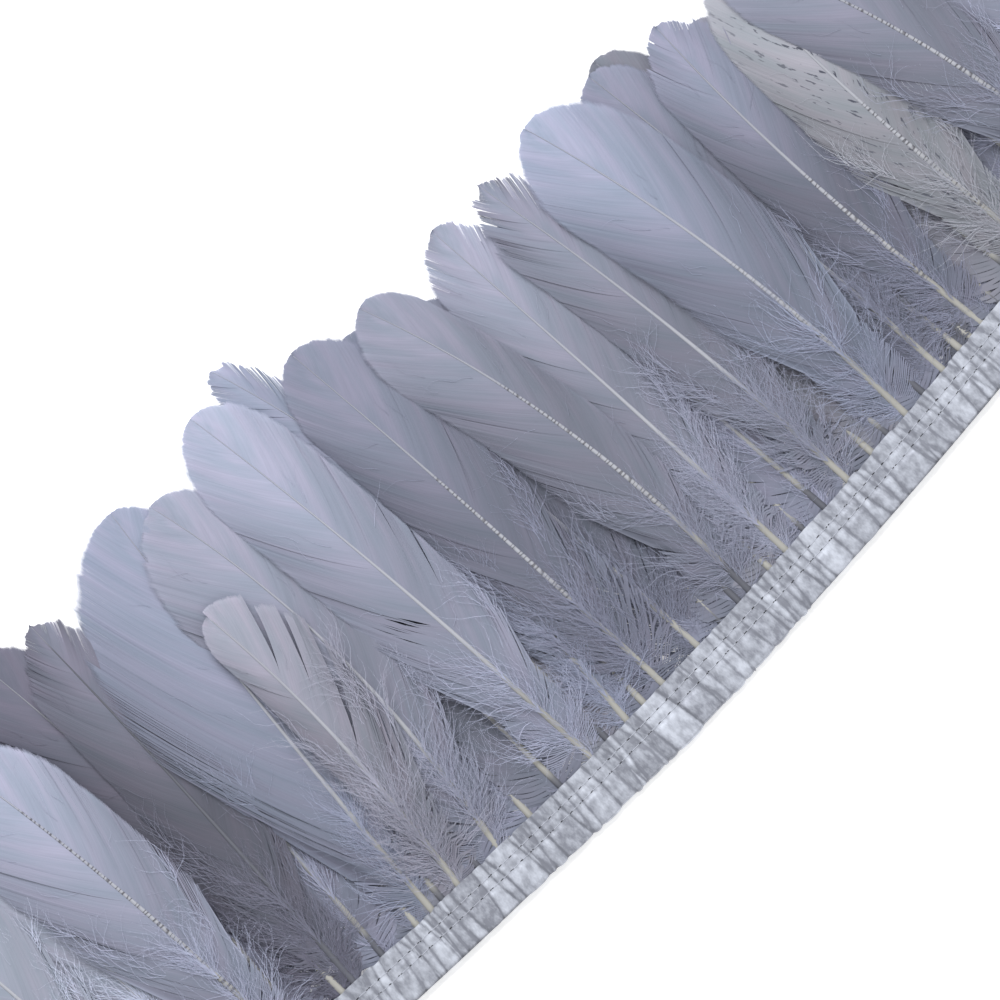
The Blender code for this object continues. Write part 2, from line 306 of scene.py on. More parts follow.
def vane_strips(bm, feather, side, pitch, draw):
    """Every barb of one vane as a strip, hooked to its neighbours except where the vane has come apart."""
    length = feather.length * MM
    roots = np.arange(VANE_FROM, length - BARE_TIP, pitch)
    count, steps = len(roots), len(BARB_SHARES) - 1
    c = BARB_SHARES[None, :]
    low, high = (
        barb_lines(feather, side, np.clip(roots + offset * pitch, 2 * VANE_FROM, length), BARB_SHARES)
        for offset in (-HALF_BARB, HALF_BARB)
    )
    rim, reach, heading = (low[2] + high[2]) / 2, (low[3] + high[3]) / 2, low[4]
    loose = feather.loose * (1 - smooth((roots - LOOSE_FROM) / (LOOSE_TO - LOOSE_FROM)))[:, None]

    # Splits, listed for each feather and small ones at random, push the barbs apart at both sides, or over
    # each other.
    gaps = sorted(
        (along * length, depth, opening * MM)
        for where, along, depth, opening in feather.gaps
        if where == side
    )
    places = [-SPLIT_REACH, *(gap[0] for gap in gaps), length + SPLIT_REACH]
    gaps = [
        (*gap, places[number + 1] - places[number], places[number + 2] - places[number + 1])
        if feather.locks
        else (*gap, SPLIT_REACH, SPLIT_REACH)
        for number, gap in enumerate(gaps)
    ]
    for _ in range(SMALL_SPLITS):
        opening = draw.uniform(*SMALL_SPLIT_OPENING) * MM
        place = draw.uniform(*SMALL_SPLIT_PLACE) * length
        gaps.append((place, draw.uniform(*SMALL_SPLIT_DEPTH), opening, SPLIT_REACH, SPLIT_REACH))
    shift, lift = np.zeros((count, steps + 1)), np.zeros((count, 1))
    for place, depth, opening, before, after in gaps:
        apart = rim - place
        nearness = np.clip(1 - np.abs(apart) / np.where(apart < 0, before, after), 0, 1)
        opened = smooth((c - (1 - depth)) / depth)
        shift += (np.sign(apart) * nearness)[:, None] * opened * opening / 2
        lift += (draw.uniform(-SPLIT_LIFT, SPLIT_LIFT) * MM * nearness * np.sign(apart))[:, None]
    for where, along, share, opening in feather.holes:
        apart = roots[:, None] + (rim - roots)[:, None] * c - along * length
        inside = np.exp(-np.abs(apart) / HOLE_REACH - ((c - share) / HOLE_SHARE) ** 2)
        shift += np.sign(apart) * inside * opening * MM / 2 * (where == side)

    # Barbs wander slowly from their places and stray singly, the more so where the vane is loose.
    wander = np.cumsum(draw.normal(0, 1, count + 2 * WANDER_SPAN))
    wander = (wander - running_mean(wander, WANDER_SPAN))[WANDER_SPAN:-WANDER_SPAN, None]
    stray = running_mean(draw.normal(0, 1, count + 2 * STRAY_SPAN), STRAY_SPAN)[STRAY_SPAN:-STRAY_SPAN, None]
    shift = shift + wander * (WANDER + LOOSE_WANDER * loose) * MM * c**2 + stray * loose * STRAY_SHIFT * c**3
    uneven = np.abs(draw.normal(0, BARB_UNEVEN, (count, 1)))
    shortened = 1 - uneven - LOOSE_SHORTENING * loose * draw.uniform(0, 1, (count, 1)) ** 2
    shortened = shortened + wander * WANDER_SHORTENING * c

    # Loose barbs draw together into locks that curl.
    lock, to_lock = barb_locks(rim, LOCK_WIDTH, draw)
    curl = draw.uniform(*LOOSE_CURLS, 3 * count)[lock][:, None]
    phase = draw.uniform(0, 2 * math.pi, 3 * count)[lock][:, None]
    shift = shift + to_lock * LOCK_DRAW * loose * c**3
    shift = shift + LOOSE_CURL * loose * np.sin(2 * math.pi * curl * c + phase) * c

    # A worn tip parts into wisps, some shorter, lifted or darker than others.
    wisp, to_wisp = barb_locks(rim, WISP_WIDTH, draw)
    worn_from = WORN_FROM - FRAYED_SHARE * feather.frayed
    frayed = (feather.frayed * smooth((rim / length - worn_from) / FRAYED_SHARE))[:, None]
    shift = shift + WISP_DRAW * np.minimum(frayed, 1) * to_wisp * c**6
    shift = shift + draw.normal(0, WISP_TURN, 3 * count)[wisp][:, None] * frayed * MM * c**4
    wear = draw.uniform(*WISP_WEAR, 3 * count)[wisp] + np.abs(draw.normal(0, WEAR_UNEVEN, count))
    shortened = shortened - wear[:, None] * frayed * c
    lift = lift + draw.uniform(*WISP_LIFT, 3 * count)[wisp][:, None] * frayed * MM
    darker = draw.uniform(*WISP_SHADE, 3 * count)[wisp][:, None] * frayed

    # The vane swells a little, and each barb narrows to its end, or all along in the downy part at the foot.
    wave = draw.uniform(0, 2 * math.pi, 3)
    swell = sum(rise * np.sin(roots / span + phase) for (span, rise), phase in zip(SWELLS.items(), wave))
    arch = VANE_ARCH * np.sin(math.pi * c) * (reach[:, None] / CAMBER_WIDTH)
    surface = (arch + swell[:, None] * c**1.5) * MM
    narrowing = np.clip((1 - c) / (END_TAPER + LOOSE_TAPER * loose), BARB_END_WIDTH, 1) ** 0.8
    half = np.hypot(high[0] - low[0], high[1] - low[1]) / 2
    narrowing = np.maximum(narrowing, 1 - WIDEST_PARTING / np.maximum(half, WIDEST_PARTING))
    downy = (1 - smooth(roots / DOWNY_TO))[:, None] * np.minimum(4 * c, 1)
    narrowing = narrowing * (1 - downy * DOWNY_PARTING / np.maximum(half, 1.6 * DOWNY_PARTING))
    tilt = draw.normal(*BARB_TILT, (count, 1)) * MM * (0.3 + c)

    points = np.zeros((count, 2, steps + 1, 3))
    middle_x, middle_y = (low[0] + high[0]) / 2, (low[1] + high[1]) / 2
    for edge, sign, line in ((0, -1, low), (1, 1, high)):
        x = middle_x + (line[0] - middle_x) * narrowing
        y = middle_y + (line[1] - middle_y) * narrowing
        x = middle_x[:, :1] + (x - middle_x[:, :1]) * shortened + np.sin(heading)[:, None] * shift
        y = middle_y[:, :1] + (y - middle_y[:, :1]) * shortened + np.cos(heading)[:, None] * shift
        camber = CAMBER * np.minimum(c * reach[:, None] / CAMBER_WIDTH, 1) ** 2
        height = layer_height(feather.layer, x, y) - camber
        height = height + surface + lift * c + sign * tilt + np.abs(stray) * STRAY_LIFT * MM * loose * c
        points[:, edge, :, 0], points[:, edge, :, 1] = x, y
        points[:, edge, :, 2] = np.maximum(height, LOWEST_BARB)
    uv = np.zeros((count, 2, steps + 1, 2))
    edges = roots[:, None, None] + np.array([-0.5, 0.5])[None, :, None] * pitch
    uv[..., 0] = edges / MM + RIGHT_VANE_UV * (side > 0)
    uv[..., 1] = c[:, None, :]
    uneven = 1 + draw.normal(0, BARB_TONE_SPREAD, (count, 1))
    # Painted light and shade along the feather: painted darker in its middle and brighter at its thin tip.
    tone = uneven * painted_light_along(rim / length)[:, None] ** feather.shade
    # The vane is painted a little brighter out towards its thin rim, and most at the rim itself, as painted
    # light shining through. Worn wisps are darker or paler at random.
    tone = tone * (0.96 + 0.05 * c + PAINTED_RIM_LIGHT * smooth((c - 0.88) / 0.12)) * (1 - darker * c**2)
    shades = np.ones((count, 2, steps + 1, 4)) * np.array(linear(feather.dye))
    shades[..., :3] *= tone[:, None, :, None]
    strip, edge, step = add_strips(bm, count, steps)
    pick = (strip, edge, step)
    specks = feather.specks * (1 - SPECK_FADE * BARB_SHARES[step])
    return Part(points[pick], uv[pick], shades[pick], specks, 0)


# Painted light and shade, by share of the feather's length from its foot.
PAINTED_LIGHT_ALONG = {0: 1.05, 0.25: 0.92, 0.45: 0.8, 0.65: 0.76, 0.85: 1.0, 1: 1.34}


def painted_light_along(share):
    """Painted light and shade along a feather: its thin tip painted pale, as if lit through from the white
    table, and its middle painted darker where others lie under it.
    """
    return np.interp(share, [*PAINTED_LIGHT_ALONG], [*PAINTED_LIGHT_ALONG.values()])


def add_tube(bm, sides, cuts):
    """A closed tube, cut across so that it can bend: its vertices, and their places from -1 to 1."""
    tube = bmesh.ops.create_cone(bm, cap_ends=True, segments=sides, radius1=1, radius2=1, depth=2)["verts"]
    first = len(bm.verts) - len(tube)
    edges = dict.fromkeys(edge for vertex in tube for edge in vertex.link_edges)
    rails = [edge for edge in edges if abs(edge.verts[0].co.z - edge.verts[1].co.z) > 1]
    bmesh.ops.subdivide_edges(bm, edges=rails, cuts=cuts, use_grid_fill=True)
    bm.verts.ensure_lookup_table()
    tube = bm.verts[first:]
    return tube, np.array([vertex.co for vertex in tube])


SHAFT_SHORT_OF_TIP = 1.2 * MM
LOWEST_SHAFT = 0.1 * MM
PALE_FROM = 15 * MM
PALE_REACH = 50 * MM
DYED_FROM = 0.35
DYED_REACH = 0.5
CLEAR_FADE = 6
RINGS_FADE = 6
TIP_DYE = 0.5


def shaft_tube(bm, feather, sections, sides):
    """The quill and shaft: a tapering horn tube with closed ends, from inside the ribbon to near the tip."""
    length = feather.length * MM
    unit = add_tube(bm, sides, sections)[1]
    distance = -QUILL_IN_TAPE + (unit[:, 2] + 1) / 2 * (length - SHAFT_SHORT_OF_TIP + QUILL_IN_TAPE)
    x, y, heading = shaft_points(feather, distance)
    half_width = np.interp(distance, [*SHAFT_WIDTHS, length], [*SHAFT_WIDTHS.values(), SHAFT_TIP_WIDTH]) / 2
    heights = [QUILL_HEIGHT, *SHAFT_HEIGHTS.values(), SHAFT_TIP_HEIGHT]
    half_height = np.interp(distance, [0, *SHAFT_HEIGHTS, length], heights) / 2
    across = unit[:, 0] * half_width
    height = np.maximum(layer_height(feather.layer, x, y) + unit[:, 1] * half_height, LOWEST_SHAFT)
    places = np.stack([x + np.cos(heading) * across, y - np.sin(heading) * across, height], axis=1)
    ivory, horn, pale = (np.array(linear(colour)) for colour in (IVORY, CLEAR_HORN, PALE_SHAFT))
    shades = ivory + (pale - ivory) * smooth((distance - PALE_FROM) / PALE_REACH)[:, None]
    taken_up = TIP_DYE * smooth((distance / length - DYED_FROM) / DYED_REACH)[:, None]
    shades = shades + (np.array(linear(feather.dye)) - shades) * taken_up
    if feather.clear:
        coloured = smooth((distance / MM - feather.clear) / CLEAR_FADE + 0.5)[:, None]
        shades = shades + (horn - shades) * (1 - coloured)
    rings = np.zeros(len(distance))
    for start, end, strength in feather.rings:
        inside = smooth((distance / MM - start) / RINGS_FADE) * smooth((end - distance / MM) / RINGS_FADE)
        rings = np.maximum(rings, strength * inside)
    around = np.arctan2(unit[:, 1], unit[:, 0]) / (2 * math.pi)
    return Part(places, np.stack([distance / MM, around], axis=1), shades, rings, 1)


STRAND_STEPS = 5
STRAND_WAVES = (0.5, 1.4)
STRAND_SWAY = (0.15, 0.85)
STRAND_TAPER = 0.85
STRAND_ARCH = 0.8
LOWEST_STRAND = 0.3 * MM
STRAND_TONE_SPREAD = 0.1
HAIR_LENGTH = (1.2, 3.6)
HAIR_ANGLE = (0.1, 0.38)
HAIR_ROOT = 0.15 * MM
HAIR_SWING = (-0.3, 0.6)
LOWEST_HAIR = 0.2 * MM


def down_strips(bm, feather, start, heading, bend, reach, rise, width, tone, hairs, draw):
    """Soft wavy strands from these places and headings, each with pairs of fine hairs along both sides."""
    steps, amount = STRAND_STEPS, len(heading)
    t = np.linspace(0, 1, steps + 1)
    wave, phase = draw.uniform(*STRAND_WAVES, (amount, 1)), draw.uniform(0, 2 * math.pi, (amount, 1))
    sway = draw.uniform(*STRAND_SWAY, (amount, 1)) * np.sqrt(t) * np.sin(2 * math.pi * wave * t + phase)
    angle = heading[:, None] + bend[:, None] * t + sway
    stride = reach[:, None] / steps
    line_x = start[0][:, None] + np.cumsum(np.sin(angle) * stride, axis=1) - np.sin(angle[:, :1]) * stride
    line_y = start[1][:, None] + np.cumsum(np.cos(angle) * stride, axis=1) - np.cos(angle[:, :1]) * stride
    height = layer_height(feather.layer, line_x, line_y) + start[2][:, None]
    height = np.maximum(height + rise[:, None] * np.sin(math.pi * STRAND_ARCH * t), LOWEST_STRAND)
    half = (1 - STRAND_TAPER * t) * width / 2
    strands = np.zeros((amount, 2, steps + 1, 3))
    for edge, sign in ((0, -1), (1, 1)):
        strands[:, edge, :, 0] = line_x + sign * np.cos(angle) * half
        strands[:, edge, :, 1] = line_y - sign * np.sin(angle) * half
        strands[:, edge, :, 2] = height
    tones = draw.normal(tone, STRAND_TONE_SPREAD, amount)
    shades_of = np.ones((amount, 4)) * np.array(linear(feather.dye))
    shades_of[:, :3] *= tones[:, None]
    strip, edge, step = add_strips(bm, amount, steps)
    flat = np.stack([strip * 7.3 + edge * width / MM, step * 2.0], axis=1)
    made = [Part(strands[strip, edge, step], flat, shades_of[strip], np.zeros(len(strip)), 2)]
    if not hairs:
        return made

    along = np.linspace(0.12, 0.99, hairs) + draw.uniform(-0.02, 0.01, (amount, hairs))
    low = np.minimum((along * steps).astype(int), steps - 1)
    part = along * steps - low
    row = np.arange(amount)[:, None]
    root_x, root_y, root_z, turned = (
        line[row, low] * (1 - part) + line[row, low + 1] * part for line in (line_x, line_y, height, angle)
    )
    pairs = np.zeros((amount, hairs, 2, 2, 3))
    for edge, step, ahead, out in ((0, 0, -1, 0), (1, 1, 1, 0), (1, 0, 0, 1), (0, 1, 0, -1)):
        hair = draw.uniform(*HAIR_LENGTH, root_x.shape) * (1.1 - 0.5 * along) * MM * abs(out)
        away = turned + out * draw.uniform(*HAIR_ANGLE, root_x.shape)
        pairs[:, :, edge, step, 0] = root_x + np.sin(away) * hair + ahead * np.sin(turned) * HAIR_ROOT / 2
        pairs[:, :, edge, step, 1] = root_y + np.cos(away) * hair + ahead * np.cos(turned) * HAIR_ROOT / 2
        swing = draw.uniform(*HAIR_SWING, root_x.shape) * hair * np.sin(np.abs(away - turned))
        pairs[:, :, edge, step, 2] = np.maximum(root_z + swing, LOWEST_HAIR)
    strip, edge, step = add_strips(bm, amount * hairs, 1)
    flat = np.stack([strip * 7.3, step * 1.0], axis=1)
    places = pairs.reshape(-1, 2, 2, 3)[strip, edge, step]
    made.append(Part(places, flat, shades_of[strip // hairs], np.zeros(len(strip)), 2))
    return made


QUILL_DOWN = (-3, 41)
QUILL_DOWN_HEIGHT = 0.2 * MM
QUILL_DOWN_TURN = (0.2, 1.4)
QUILL_DOWN_END = (-0.8, 0.8)
STRANDS_IN_CLUMP = 9
CROSSING_SHARE = 0.32
CROSSING_FROM = 12 * MM
CROSSING_HEIGHT = 1.2 * MM


def down_round_quill(bm, feather, amount, lift, width, hairs, draw):
    """Down that grows from the quill, just above the ribbon, and curls forward."""
    clump = np.arange(amount) // STRANDS_IN_CLUMP
    clumps = clump[-1] + 1
    side = np.where(clump % 2, 1.0, -1.0)
    roots = (draw.uniform(*QUILL_DOWN, clumps)[clump] + draw.normal(0, 0.8, amount)) * MM
    crossing = draw.uniform(0, 1, clumps)[clump] < CROSSING_SHARE * feather.loose
    roots = np.where(crossing, CROSSING_FROM + 0.75 * roots, roots)
    x, y, heading = shaft_points(feather, roots)
    first = draw.uniform(*QUILL_DOWN_TURN, clumps)[clump] + draw.normal(0, 0.22, amount)
    first = np.where(crossing, -0.35 * first, first)
    last = draw.uniform(*QUILL_DOWN_END, clumps)[clump] + draw.normal(0, 0.35, amount)
    reach = (11 + 0.2 * roots / MM + draw.uniform(0, 10, clumps)[clump] + draw.uniform(-4, 4, amount)) * MM
    start = (x, y, np.where(crossing, CROSSING_HEIGHT, QUILL_DOWN_HEIGHT))
    rise = draw.uniform(0.1, 1, clumps)[clump] * draw.uniform(0.6, 1, amount) * lift
    bend = side * (last - first)
    heading = heading + side * first
    return down_strips(bm, feather, start, heading, bend, reach, rise, width, DOWN_TONE, hairs, draw)


TUFT_ROOTS = (-7, 18)
TUFT_HEIGHT = (-1.2, -0.4)
TUFT_REACH = (9, 17)
TUFT_TURN = (0.6, 1.6)
TUFT_BEND = (-0.9, 0.1)
TUFT_WIDTH = 2.6 * MM
TUFT_TONE = 1.12
TUFT_HAIRS = 4


def down_underneath(bm, feather, amount, draw):
    """Broad, matted tufts low down by the quill, which fill the space between it and the next ones."""
    side = np.where(np.arange(amount) % 2, 1.0, -1.0)
    roots = draw.uniform(*TUFT_ROOTS, amount) * MM
    x, y, heading = shaft_points(feather, roots)
    first = draw.uniform(*TUFT_TURN, amount)
    start = (x, y, draw.uniform(*TUFT_HEIGHT, amount) * MM)
    reach, bend = draw.uniform(*TUFT_REACH, amount) * MM, side * draw.uniform(*TUFT_BEND, amount)
    heading, rise = heading + side * first, np.zeros(amount)
    return down_strips(
        bm, feather, start, heading, bend, reach, rise, TUFT_WIDTH, TUFT_TONE, TUFT_HAIRS, draw
    )


DOWNY_RIM = 50 * MM
RIM_DOWN_REACH = (11, 22)


def down_on_rim(bm, feather, amount, lift, width, hairs, draw):
    """Down at the lower part of the vanes, where the barbs come apart and run out past the rim."""
    made = []
    amount = round(amount * feather.loose)
    for side in (-1, 1):
        clump = np.arange(amount) // STRANDS_IN_CLUMP
        clumps = clump[-1] + 1
        highest = DOWNY_RIM * (0.4 + 0.6 * feather.loose)
        roots = draw.uniform(3 * MM, highest, clumps)[clump] + draw.normal(0, 1, amount) * MM
        shares = np.clip(draw.uniform(0.4, 0.95, clumps)[clump] + draw.normal(0, 0.06, amount), 0.1, 0.92)
        made += strands_on_vane(
            bm, feather, side, roots, shares,
            rise=draw.uniform(0.1, 1, clumps)[clump] * lift,
            reach=(draw.uniform(*RIM_DOWN_REACH, clumps)[clump] + draw.uniform(-4, 5, amount)) * MM,
            bend=side * draw.uniform(-1.1, 0.6, clumps)[clump] + draw.normal(0, 0.35, amount),
            width=width,
            tone=DOWN_TONE,
            hairs=hairs,
            draw=draw,
        )
    return made


def strands_on_vane(bm, feather, side, roots, shares, rise, reach, bend, width, tone, hairs, draw):
    """Strands that start on the vane, at these shares of its width, and set off the way its barbs run."""
    amount = len(roots)
    ahead = np.minimum(shares + 0.08, 1)
    both = np.append(shares, ahead)
    x, y, _, _, _ = barb_lines(feather, side, roots, np.sort(both))
    column = np.argsort(np.argsort(both))
    row = np.arange(amount)
    from_x, from_y = x[row, column[:amount]], y[row, column[:amount]]
    to_x, to_y = x[row, column[amount:]], y[row, column[amount:]]
    heading = np.arctan2(to_x - from_x, to_y - from_y) + draw.normal(0, 0.22, amount)
    start = (from_x, from_y, np.full(amount, 0.6 * MM))
    return down_strips(bm, feather, start, heading, bend, reach, rise, width, tone, hairs, draw)


def stray_barbs(bm, feather, amount, draw):
    """A few single barbs that have come loose and lie across the vane."""
    made = []
    for side in (-1, 1):
        made += strands_on_vane(
            bm, feather, side,
            draw.uniform(0.3, 0.75, amount) * feather.length * MM,
            draw.uniform(0.1, 0.7, amount),
            rise=np.full(amount, 0.3 * MM),
            reach=draw.uniform(6, 16, amount) * MM,
            bend=draw.uniform(-0.5, 0.5, amount),
            width=0.14 * MM,
            tone=1.3,
            hairs=0,
            draw=draw,
        )
    return made


def make_feather(name, node, feather, pitch, sections, sides, down, strays, lift, width, hairs, seed):
    """One feather as one mesh, in place of its solid: both vanes, the shaft between them, and the down."""
    draw = np.random.default_rng(seed)
    bm = bmesh.new()
    parts = [vane_strips(bm, feather, side, pitch, draw) for side in (-1, 1)]
    parts.append(shaft_tube(bm, feather, sections, sides))
    at_quill, on_rim, underneath = down
    at_quill = round(at_quill * (0.4 + 0.6 * feather.loose))
    parts += down_round_quill(bm, feather, at_quill, lift, width, hairs, draw)
    parts += down_on_rim(bm, feather, on_rim, lift, width, hairs, draw)
    parts += down_underneath(bm, feather, underneath, draw)
    if strays:
        parts += stray_barbs(bm, feather, strays, draw)
    mesh = finished_mesh(name, bm)
    places, flat_places, shades, marks = (
        np.concatenate(values).astype(np.float32) for values in list(zip(*parts))[:4]
    )
    kinds = np.concatenate([np.full(len(part.places), part.kind) for part in parts]).astype(np.int32)
    corners = np.zeros(len(mesh.loops), np.int32)
    starts = np.zeros(len(mesh.polygons), np.int32)
    mesh.loops.foreach_get("vertex_index", corners)
    mesh.polygons.foreach_get("loop_start", starts)
    mesh.vertices.foreach_set("co", places.ravel())
    mesh.uv_layers.new(name="barbs").uv.foreach_set("vector", flat_places[corners].ravel())
    # The dye attribute holds each vertex's colour: on the vanes, the dye with the painted light and shade on
    # it.
    mesh.attributes.new("dye", "FLOAT_COLOR", "POINT").data.foreach_set("color", shades.ravel())
    mesh.attributes.new("marks", "FLOAT", "POINT").data.foreach_set("value", marks)
    mesh.polygons.foreach_set("material_index", kinds[corners[starts]])
    mesh.polygons.foreach_set("use_smooth", np.ones(len(mesh.polygons), bool))
    for material in (dyed_vane, quill_horn, dyed_down):
        mesh.materials.append(material)
    mesh.update()
    plume = add_object(name, mesh)
    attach(plume, "root")
    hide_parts(node)


# How often each pattern on a vane repeats, per mm along the shaft and per length of a barb.
BARB_STREAKS = 1.6
CLOUDS = (0.09, 1.1)
SPOTS = (0.35, 7.0)


def feather_material(name, roughness, sheen, streak_width, streak_strength, bump):
    """Dyed feather: the colour comes from the dye attribute, which also carries the painted light and shade
    along each feather, streaked along each barb.
    """
    finish = {"Roughness": roughness, "Specular IOR Level": 0.35}
    finish |= {"Sheen Weight": sheen, "Sheen Roughness": 0.4, "Sheen Tint": linear("#dfe4f4")}
    material, tree, shader = new_material(name, finish)
    flat = add_node(tree, "UVMap", uv_map="barbs")
    dye = add_node(tree, "Attribute", attribute_name="dye")
    fine = add_node(tree, "Mapping", {"Vector": flat, "Scale": (1 / streak_width, BARB_STREAKS, 1)})
    streaks = add_node(tree, "TexNoise", {"Vector": fine, "Scale": 1.0, "Detail": 2.0, "Roughness": 0.6})
    broad = add_node(tree, "Mapping", {"Vector": flat, "Scale": (*CLOUDS, 1)})
    clouds = add_node(tree, "TexNoise", {"Vector": broad, "Scale": 1.0, "Detail": 2.0})
    streak_tone = add_node(tree, "MapRange", [streaks, 0.3, 0.7, 1 - streak_strength, 1 + streak_strength])
    cloud_tone = add_node(tree, "MapRange", [clouds, 0.3, 0.7, 0.92, 1.08])
    tone = add_node(tree, "Math", [streak_tone, cloud_tone], operation="MULTIPLY")
    cast_share = add_node(tree, "MapRange", [clouds, 0.35, 0.65, 0.0, 1.0])
    casts = {0: cast_share, 6: (0.97, 1.02, 1.01, 1), 7: (1.03, 0.98, 0.99, 1)}
    cast = add_node(tree, "Mix", casts, data_type="RGBA")
    dyed = add_node(tree, "VectorMath", [dye, cast.outputs[2]], operation="MULTIPLY")
    shaded = add_node(tree, "VectorMath", {0: dyed, "Scale": tone}, operation="SCALE")
    spotted = add_node(tree, "Attribute", attribute_name="marks").outputs["Fac"]
    spread = add_node(tree, "Mapping", {"Vector": flat, "Scale": (*SPOTS, 1)})
    spots = add_node(tree, "TexNoise", {"Vector": spread, "Scale": 1.0, "Detail": 3.0})
    spot_edge = add_node(tree, "MapRange", [spots, 0.61, 0.64, 0.0, 1.0])
    spot_share = add_node(tree, "Math", [spot_edge, spotted], operation="MULTIPLY")
    coloured = add_node(tree, "Mix", {0: spot_share, 6: shaded, 7: linear("#3a3d4a")}, data_type="RGBA")
    tree.links.new(coloured.outputs[2], shader.inputs["Base Color"])
    relief = add_node(tree, "Bump", {"Height": streaks, "Strength": bump, "Distance": 0.1 * MM})
    tree.links.new(relief.outputs["Normal"], shader.inputs["Normal"])
    return material


# Dyed vane: barbs hooked together into a smooth, dull-satin web. Real barbs are 0.4 mm apart; the streaks are
# drawn 0.9 mm apart, so that they show.
dyed_vane = feather_material("dyed_vane", 0.6, 0.12, 0.9, 0.05, 0.2)
# Dyed down: loose, matt, fluffy barbs that catch the light.
dyed_down = feather_material("dyed_down", 0.9, 0.25, 0.4, 0.12, 0.2)

# Quill horn: smooth keratin, ivory with a low gloss, clear and dark where it is empty, ringed by growth marks
# RING_PITCH mm apart.
quill_horn, quill_tree, quill_shader = new_material("quill_horn", {"Roughness": 0.38, "IOR": 1.54})
RING_PITCH = 1.7
quill_flat = add_node(quill_tree, "UVMap", uv_map="barbs")
quill_dye = add_node(quill_tree, "Attribute", attribute_name="dye")
ring_share = add_node(quill_tree, "Attribute", attribute_name="marks").outputs["Fac"]
wobble = add_node(quill_tree, "TexNoise", {"Vector": quill_flat, "Scale": 0.35, "Detail": 2.0})
drift = add_node(quill_tree, "Math", [wobble, 16.0], operation="MULTIPLY")
along_quill = add_node(quill_tree, "SeparateXYZ", [quill_flat])
ring_turn = 2 * math.pi / RING_PITCH
ring_phase = add_node(quill_tree, "Math", [along_quill, ring_turn, drift], operation="MULTIPLY_ADD")
ring_wave = add_node(quill_tree, "Math", [ring_phase], operation="SINE")
ring_band = add_node(quill_tree, "MapRange", [ring_wave, 0.25, 0.95, 0.0, 1.0])
ring_mark = add_node(quill_tree, "Math", [ring_band, ring_share], operation="MULTIPLY")
ringed = {0: ring_mark, 6: quill_dye, 7: linear("#4b4a50")}
quill_colour = add_node(quill_tree, "Mix", ringed, data_type="RGBA")
quill_tree.links.new(quill_colour.outputs[2], quill_shader.inputs["Base Color"])

BACK_FEET = [
    -240, -222, -213, -196, -175, -140, -125, -113, -97, -73, -59, -37, -20, 17, 26, 41,
    58, 68, 92, 100, 118, 142, 157, 168, 188, 199, 218, 230, 242,
]
BACK_LENGTH = (136, 150)
BACK_VANE_WIDTH = (15, 18)
BACK_RIGHT_SHARE = (0.9, 1.0)
BACK_FAN = 1.3
BACK_LEAN_SPREAD = 1.2
BACK_BEND = (1, 4)
BACK_LAYERS = 3
BACK_DYES = ("#6f7283", "#777a8c", "#696c7b", "#767783")
for number, foot in enumerate(BACK_FEET):
    draw = random.Random(f"back feather {number}")
    square = -math.degrees((foot * MM - TAPE_LOWEST_X) / TAPE_RADIUS)
    lean = BACK_FAN * square + draw.uniform(-BACK_LEAN_SPREAD, BACK_LEAN_SPREAD)
    width = draw.uniform(*BACK_VANE_WIDTH)
    feather = Feather(
        foot=foot,
        length=draw.uniform(*BACK_LENGTH),
        lean=lean,
        tip_lean=lean - draw.uniform(*BACK_BEND),
        left=width,
        right=width * draw.uniform(*BACK_RIGHT_SHARE),
        layer=number % BACK_LAYERS,
        dye=BACK_DYES[number % len(BACK_DYES)],
        clear=5 * (number % 3),
        loose=0.35,
        base=0.85,
    )
    make_feather(
        name=f"back_plume_{number + 1:02d}",
        node=f"back_feather_{number + 1:02d}",
        feather=feather,
        pitch=1.5 * MM,
        sections=60,
        sides=6,
        down=(190, 14, 46),
        strays=0,
        lift=1.0 * MM,
        width=0.26 * MM,
        hairs=8,
        seed=100 + number,
    )
